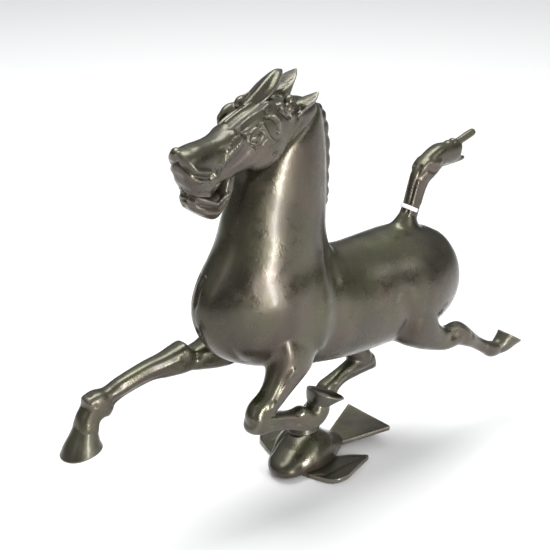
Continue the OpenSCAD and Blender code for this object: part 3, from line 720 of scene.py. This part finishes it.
FOREHEAD_LINES = [([(44, -2, 30), (60, -3, 31), (76, -3, 28)], 1.6, 1.4),
                  ([(46, 3, 30), (78, 3, 28)], 2.6, -1.2), ([(46, -8, 30), (78, -8, 27)], 2.2, -1.2)]
FACE_LINES = [
    ([(44, 9, 30), (60, 9.5, 29.5), (78, 8, 27)], 1.5, 1.7),                    # brow
    ([(50, 13, 27), (62, 13.5, 26), (76, 12, 24)], 1.6, -0.9),
    ([(79, 13, 21), (90, 13, 18), (100, 13, 13)], 3.2, 1.5),                    # facial crest
    *(hatch(step) for step in np.linspace(0, 1, 7)),
    ([(78, 15, 12), (90, 13.5, 8), (100, 12.5, 5)], 5.0, -1.8),
    ([(74, 15, 18), (72, 16, 22), (65, 17, 23.5), (59, 17, 21)], 1.0, 0.9),     # upper lid
    ([(74, 15.5, 17), (71, 17, 14), (67, 18, 12.5), (63, 18, 13), (60, 18, 15)], 1.0, 0.5),
    ([(73, 16, 15), (69, 17.5, 10), (63, 18, 9.5), (58, 18, 12)], 0.9, -0.9),   # under the lower lid
    ([(58, 16.5, 25), (57, 17.5, 18), (56, 18, 12), (52, 18, 6)], 1.2, 1.1),    # temple
    ([(53, 15, 26), (48, 16.5, 23), (45, 17.5, 17), (46, 18, 11)], 1.2, -1.5),
    ([(44, 16, 24), (41, 17, 16), (43, 18, 8)], 1.4, 0.6),
    ([(39, 14, 25), (36, 16, 18), (32, 16.5, 14)], 1.1, -1.4),
    ([(55, 18, -3), (52, 18, -3), (51, 18, -5.5), (53, 18, -7)], 0.8, -1.0),    # curl on the cheek
    ([(49, 18, -4), (50, 18, -8), (54, 18, -10)], 0.8, -0.9),
    ([(24, 19, 7), (30, 18, 2), (36, 18, -4), (44, 18, -10)], 1.8, 0.6),        # edge of the jaw
    ([(20, 19, 4), (27, 18, -2), (34, 18, -8), (43, 18, -14)], 2.0, -0.8),
    ([(126, 0, 33), (126, 7, 30), (124, 12, 22), (117, 14, 18), (112, 14.5, 14), (108, 14.5, 9)],
     2.0, 1.1),                                                                 # wing of the nostril
    ([(129, 1, 28), (128, 7, 25), (125, 12.5, 18), (119, 14, 13.5), (113, 14.5, 9.5)], 1.6, -1.2),
    ([(128, 8, 14.5), (121, 13.5, 9), (113, 14, 4)], 2.4, -0.8),
    ([(130, 2, 22), (128, 8, 20), (123, 13, 13)], 2.4, 0.5),
    ([(128, 2, 5), (124, 10, 0), (117, 12, -6), (112, 12, -10)], 1.5, 1.4),     # edge of the lip
    ([(107, 14, 15), (104, 13, 10)], 0.9, -0.8)]
FACE_SPOTS = [((66, 16, 19), (8.5, 6, 4.8), -1.9),                              # eye socket
              ((66, 16, 17.5), (4.2, 4, 2.4), 1.6),                             # eyeball
              ((110.5, 15, 11.5), (2.6, 4, 2.2), -3.4),                         # nostril
              ((104, 12, -7), (6.5, 6, 4.2), -8.5)]                             # corner of the mouth
press(head, marked(face, FOREHEAD_LINES + mirrored(FACE_LINES), mirrored(FACE_SPOTS)))
soften(head, 1)
finished(at_poll(head), body_bronze, "bronze", "head")

# ------------------------------------------------------------------------------------
# The lower jaw is cast solid and pinned under the head, with a boxed lip and a pointed
# chin. Its lips close in front and part towards the corners, where the tongue shows.
jaw = remeshed("lower_jaw", [
    limb([
        [80, 0, -2, 6, 3, 4, 0], [87, 0, -4, 8.5, 4, 7, -10], [93, 0, -8, 10.5, 6, 9, -24],
        [98, 0, -13, 11, 7, 10, -12], [104, 0, -18, 11, 4.5, 8.5, 0], [110, 0, -19, 11.5, 5, 10.5, 12],
        [116, 0, -14, 11.5, 6, 9.5, 28], [122, 0, -8, 10.5, 6.5, 7.5, 42], [126, 0, -3, 8, 6, 5, 52],
        [128, 0, 0, 4, 3, 3, 55]], 90, 64, 3.0)], 0.55)
soften(jaw, 3)
chin = points_of(jaw)
LIP_LINES = [([(99, 11, -13), (108, 11.5, -14), (116, 11.5, -9), (123, 9.5, -3), (128, 2, 3)], 1.5, 1.5),
             ([(100, 11, -17), (109, 12, -18), (118, 12, -13), (125, 9, -7), (129, 1, -3)], 1.5, -1.3),
             ([(102, 11, -21), (111, 12, -22), (120, 11, -17), (128, 3, -9)], 1.8, 0.8)]
press(jaw, marked(chin, mirrored(LIP_LINES)))
finished(at_poll(jaw), body_bronze, "bronze", "lower_jaw")

dark_bronze = bronze("dark_bronze", patina, green=0.3, gloss=0.42, brown=(0.080, 0.072, 0.055, 1))
tongue = make_object("tongue", *limb([
    [92, 0, -13, 3, 2, 3, 0], [97, 0, -14, 6.5, 3, 4, 0], [105, 0, -15, 8.5, 3.5, 5, 6],
    [111, 0, -14, 8.5, 3.5, 5, 14], [116, 0, -11, 5.5, 2.5, 4, 26], [118, 0, -10, 1, 1, 1, 30]], 40, 32))
finished(at_poll(tongue), dark_bronze, "bronze_hoof", "tongue")

# ------------------------------------------------------------------------------------
# Ears and forelock are small castings, pinned into the skull. The ears are laid back,
# hollow in front and combed with short hairs; the forelock is swept up between them.
def ear(name, rows, hairs):
    """A leaf carried along its middle. Hairs are short grooves across its face, and the leaf
    is hollow below the first of them."""
    thing = remeshed(name, [limb(rows, 60, 40)], 0.45)
    soften(thing, 2)
    leaf = points_of(thing)
    for a, b in hairs:
        press(thing, line_mark(leaf, [a, b], 0.6, -0.25))
    press(thing, spot_mark(leaf, np.mean(hairs[0], 0) + (4, 0, -2), (4, 4, 4), -2.2))
    return finished(at_poll(thing), body_bronze, "bronze", name)


ear("left_ear", [
    [24, 11, 8, 5, 4, 4, 135], [20, 11.5, 12, 7, 5.5, 3, 142], [14, 13, 15, 7, 5.5, 1.5, 152],
    [8, 14.5, 16, 6, 4.5, 0.8, 162], [3, 15.5, 16.5, 4, 3, 0.6, 170], [-2, 16.5, 17.5, 0.8, 0.8, 0.5, 172]],
    [((18, 14, 16), (13, 17, 18)), ((14, 15, 17), (8, 18, 19)), ((10, 15, 17), (4, 18, 19))])
ear("right_ear", [
    [25, -8, 12, 7, 8, 7, 120], [19, -8, 16, 9, 8.5, 6, 132], [11, -9, 19.5, 9, 7.5, 3.5, 150],
    [3, -10, 22, 7.5, 5.5, 1, 162], [-5, -11, 23, 5, 3.5, 0.6, 170], [-12, -12, 23, 0.9, 0.9, 0.6, 174]],
    [((18, -4, 21), (12, -3, 24)), ((12, -5, 24), (6, -4, 26)), ((6, -7, 25), (0, -6, 26))])


def strands(t, q):
    """Locks of hair: the oval swells five times round, less towards both ends."""
    return 1 + 0.12 * np.cos(5 * q + 3 * t) * np.sin(np.pi * t)


forelock = remeshed("forelock", [limb([
    [54, -5, 27, 4, 3, 4, 172], [46, -5, 28.5, 7, 3, 5, 165], [38, -4, 30, 8, 4, 6, 160],
    [30, -4, 32, 8, 4.5, 6, 156], [22, -5, 34, 6.5, 4.5, 5, 156], [15, -6, 35.5, 4.5, 3.5, 3.5, 166],
    [10, -6, 35.5, 1, 1, 1, 180]], 80, 48, 2.0, strands)], 0.45)
soften(forelock, 1)
finished(at_poll(forelock), body_bronze, "bronze", "forelock")

# ------------------------------------------------------------------------------------
# The tail is cast with its knot and two tips, and a peg holds it in the croup. A thin
# white tie is wound round it just above the croup.
tail = remeshed("tail", [
    limb(lifted([
        [-95, 0, 164, 6, 7, 7, 104], [-97, 0, 172, 6.5, 8, 8, 106], [-101, 0, 181, 6, 7.5, 7.5, 112],
        [-105, 0, 194, 6, 8, 8, 116], [-110, 0, 205, 6.5, 9, 9.5, 124], [-119, 0, 213, 7.5, 11, 10, 148],
        [-131, 0, 219, 7.5, 9.5, 10, 170], [-143, 0, 219, 6.5, 9, 9, 182], [-151, 0, 218.5, 5.5, 8, 8.5, 186],
        [-156, 0, 218, 4, 7, 7.5, 188], [-157, 0, 218, 2, 4, 4, 188]]), 130, 48, 2.9),
    limb(lifted([[-134, 0, 223, 3, 3, 3, 165], [-152, 0, 226, 3.2, 3.2, 3.2, 162],
                 [-170, 0, 231, 3.4, 3.4, 3.4, 164], [-174, 0, 232, 2.2, 2.2, 2.2, 164]]), 50, 24),
    limb(lifted([[-136, 0, 213, 3, 5, 3, 188], [-150, 0, 213, 4, 4.5, 3, 192],
                 [-160, 0, 211.5, 3, 2.2, 2, 196], [-163, 0, 212, 0.8, 0.6, 0.6, 198]]), 40, 24),
    ball((-143, 0, 227 + HOOF_Z), (4.5, 4.5, 3.2)), ball((-148, 0, 228 + HOOF_Z), (3, 4, 3)),
], 0.7)
soften(tail, 3)
brush = points_of(tail)
TAIL_LINES = [([(-91, 5, 178), (-97, 6, 200), (-104, 6, 218)], 1.5, -1.5),
              ([(-106, 7, 214), (-113, 8, 219), (-126, 8, 216)], 2.2, 1.2),
              ([(-104, 7, 206), (-112, 8, 212), (-122, 8, 208)], 2.0, -1.0),
              ([(-107, 5, 184), (-112, 6, 196), (-120, 6, 206)], 1.3, 0.8)]
TAIL_END = [((-160, 0, 217), (4, 6, 3), -1.5)]
press(tail, marked(brush, raised(mirrored(TAIL_LINES)), raised(TAIL_END)))
finished(tail, body_bronze, "bronze", "tail")

white = bpy.data.materials.new("white_tie")
white.use_nodes = True
shader = white.node_tree.nodes["Principled BSDF"]
shader.inputs["Base Color"].default_value = (0.83, 0.83, 0.88, 1)
shader.inputs["Roughness"].default_value = 0.55
tie = make_object("tail_tie", *limb(lifted([
    [-98.2, 0, 179.0, 6.6, 7.6, 8.2, 118], [-98.6, 0, 179.4, 7.0, 8.0, 8.6, 118],
    [-99.6, 0, 181.4, 7.0, 8.0, 8.4, 118], [-100, 0, 181.9, 6.6, 7.6, 8.0, 118]]), 12, 48))
finished(tie, white, "white_tie", "tail_tie")

# ------------------------------------------------------------------------------------
# Each hoof is cast on its own and pinned to its pastern: a flaring cone with a rolled rim
# round a hollow sole, darker than the body. The hoof on the bird is solid.
def hoof(name, rows, along=30, around=64):
    """An oval cone along the hoof's axis. After the last ring the rim rolls over: each
    further ring is a share of the last one, pushed along the axis by its own depth."""
    wall = limb(rows, along, around, 2.2)[0][:along * around].reshape(along, around, 3)
    slope = math.radians(rows[-1][6])
    axis = np.array([math.cos(slope), 0, math.sin(slope)])
    middle = wall[-1].mean(0)
    rings = [middle + share * (wall[-1] - middle) + depth * axis for share, depth in
             ((0.995, 0.6), (0.97, 1.0), (0.93, 1.1), (0.90, 0.9), (0.87, 0.3), (0.84, -0.3),
              (0.74, -0.9), (0.45, -1.2), (0.2, -1.2))]
    thing = make_object(name, *closed(np.concatenate([wall, np.array(rings)])))
    return finished(thing, dark_bronze, "bronze_hoof", name)


hoof("left_fore_hoof", lifted([
    [29, 33, 55, 8.5, 9, 9, -254], [27, 32, 57, 11, 12, 10, -252], [24, 32, 60, 13, 16, 13, -248],
    [21.8, 32, 61.4, 14, 18, 15, -245]]))
hoof("right_fore_hoof", lifted([
    [205.7, -28, 72.5, 8.5, 8.5, 8.4, -77], [207, -28, 65, 10.4, 11.4, 10.8, -82],
    [209, -28, 59, 12.6, 14.4, 13.4, -92], [210, -28, 53.9, 14, 17, 16, -98]]))
hoof("left_hind_hoof", lifted([
    [-185, 32, 36, 6, 6, 7, -193], [-191, 32, 37, 8, 7, 9, -215], [-198, 32, 40, 9, 9, 12, -230],
    [-202.5, 32, 42.6, 10, 12, 14, -237]]))
finished(make_object("right_hind_hoof", *limb(lifted([
    [-11, -19, 12, 8, 8, 8, -54], [-9, -18.5, 9, 9, 9.5, 9, -60], [-7, -18, 7, 10, 11, 10, -66],
    [-3, -18, 3, 11, 14, 12, -80], [-1, -18, 0.2, 12, 15, 13, -90]]), 40, 64, 2.2)),
    dark_bronze, "bronze_hoof", "right_hind_hoof")

# ------------------------------------------------------------------------------------
# The bird is cast in four: a solid body with its head low in front, two swept wings and
# a fan of a tail with a straight end, brazed on edge to edge.
BIRD_Y = -16                                             # middle line of the wings and tail
bird = remeshed("bird_body", [limb([
    [-38, -16, 4, 8, 6, 4, 0], [-28, -16, 4, 14, 12, 4, 0], [-14, -16, 4, 22, 21, 4, 0],
    [2, -16, 4, 26, 25.5, 4, 0], [13, -15, 4, 24.5, 22, 4, 0], [23, -12, 4, 20, 15.5, 4, 0],
    [31, -9, 6, 17, 10, 6, 0], [37, -7, 7, 13, 7, 6, 0], [41, -6, 7, 8, 4, 4, 0],
    [42.5, -6, 7, 3, 1.5, 1.5, 0]], 100, 80, 2.3)], 0.7)
soften(bird, 4)
feathers = points_of(bird)
press(bird, line_mark(feathers, [(10, -24, 26), (20, -26, 16), (30, -22, 10)], 2.4, -0.8))
flat = points_of(bird)
flat[:, 2] = np.maximum(flat[:, 2], 0)
set_points(bird, flat)
finished(bird, body_bronze, "bronze", "bird_body")


def plate(name, outline, middle, thick, under, dish):
    """A cast plate: its outline shrunk towards a middle point, ring by ring, over the top,
    round the rim and back underneath. under(x, y) is the height of its lower face, and the
    top is dished by a share of its thickness inside a raised rim."""
    edge = np.asarray(outline, float)
    inward = np.linspace(0.03, 0.88, 18)
    share = np.concatenate([inward, [0.91, 0.94, 0.965, 0.985, 1.0, 1.0, 0.99, 0.96], inward[::-1]])
    high = np.concatenate([np.full(18, 1 - dish), [1 - dish, 1 - 0.4 * dish, 1, 0.98, 0.86, 0.14, 0.03, 0],
                           np.zeros(18)])
    x = middle[0] + share[:, None] * (edge[:, 0] - middle[0])
    y = middle[1] + share[:, None] * (edge[:, 1] - middle[1])
    return make_object(name, *closed(np.stack([x, y, under(x, y) + thick * high[:, None]], 2)))


def round_corners(corners, reach, steps=8, along=10):
    """A closed outline with each corner cut by a small parabola between points that lie
    reach millimetres before and after it, and even points along its straight sides."""
    c = np.asarray(corners, float)
    before, after = np.roll(c, 1, 0), np.roll(c, -1, 0)
    back, ahead = np.linalg.norm(before - c, axis=1), np.linalg.norm(after - c, axis=1)
    a = c + (before - c) * (np.minimum(reach, 0.45 * back) / back)[:, None]
    b = c + (after - c) * (np.minimum(reach, 0.45 * ahead) / ahead)[:, None]
    t = np.linspace(0, 1, steps)[None, :, None]
    curve = (1 - t) ** 2 * a[:, None] + 2 * t * (1 - t) * c[:, None] + t ** 2 * b[:, None]
    u = np.linspace(0, 1, along + 2)[None, 1:-1, None]
    side = b[:, None] * (1 - u) + np.roll(a, -1, 0)[:, None] * u
    return np.concatenate([curve, side], 1).reshape(-1, 2)


PLATE = 4                                                # thickness of the wings and the tail
WING = [[24, 8], [21, 20], [17, 33], [13, 45], [7, 50], [-3, 51], [-22, 44], [-42, 37], [-30, 26],
        [-18, 20], [-14, 8]]
for side, name in ((1, "bird_left_wing"), (-1, "bird_right_wing")):
    outline = round_corners([(x, side * y) for x, y in WING], 4)
    wing = plate(name, outline + (0, BIRD_Y), (-2, BIRD_Y + side * 34), PLATE,
                 lambda x, y: 0.0018 * np.clip(np.abs(y - BIRD_Y) - 26, 0, None) ** 2, 0.3)
    quill = [(x, BIRD_Y + side * y, PLATE) for x, y in ((20, 26), (8, 36), (-14, 36), (-38, 37))]
    press(wing, line_mark(points_of(wing), quill, 1.4, -0.5))
    finished(wing, body_bronze, "bronze", name)
fan = plate("bird_tail", round_corners([(-28, -24), (-34, -25), (-76, -43), (-76, 11), (-34, -7),
                                        (-28, -8)], 1.6),
            (-56, BIRD_Y), PLATE, lambda x, y: 3 + np.clip(-34 - x, 0, None) * 0.19, 0.12)
finished(fan, body_bronze, "bronze", "bird_tail")

# ------------------------------------------------------------------------------------
# The fastenings are inside the castings: turned steel sleeves, dowels, the rod and its
# nut, and drawn brass pins. They keep their shape, with the metal's own finish.
def turned_metal(name, colour, least=0.25, spread=0.2):
    """Bare metal whose polish is uneven: noise takes its roughness from least to least plus
    spread."""
    material = bpy.data.materials.new(name)
    material.use_nodes = True
    nodes, links = material.node_tree.nodes, material.node_tree.links
    shader = nodes["Principled BSDF"]
    shader.inputs["Metallic"].default_value = 1.0
    shader.inputs["Base Color"].default_value = colour
    place, wear, polish = (nodes.new("ShaderNodeTexCoord"), nodes.new("ShaderNodeTexNoise"),
                           nodes.new("ShaderNodeMapRange"))
    wear.inputs["Scale"].default_value = 300
    polish.inputs["To Min"].default_value = least
    polish.inputs["To Max"].default_value = least + spread
    links.new(place.outputs["Object"], wear.inputs["Vector"])
    links.new(wear.outputs["Fac"], polish.inputs["Value"])
    links.new(polish.outputs["Result"], shader.inputs["Roughness"])
    return material


steel = turned_metal("turned_steel", (0.55, 0.56, 0.58, 1))
pin_brass = turned_metal("pin_brass", (0.60, 0.46, 0.22, 1))
for name in ("neck_sleeve", "head_sleeve", "leg_dowels", "support_rod", "rod_nut", "joint_pins"):
    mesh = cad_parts[name].data
    mesh.materials.clear()
    mesh.materials.append(pin_brass if name == "joint_pins" else steel)
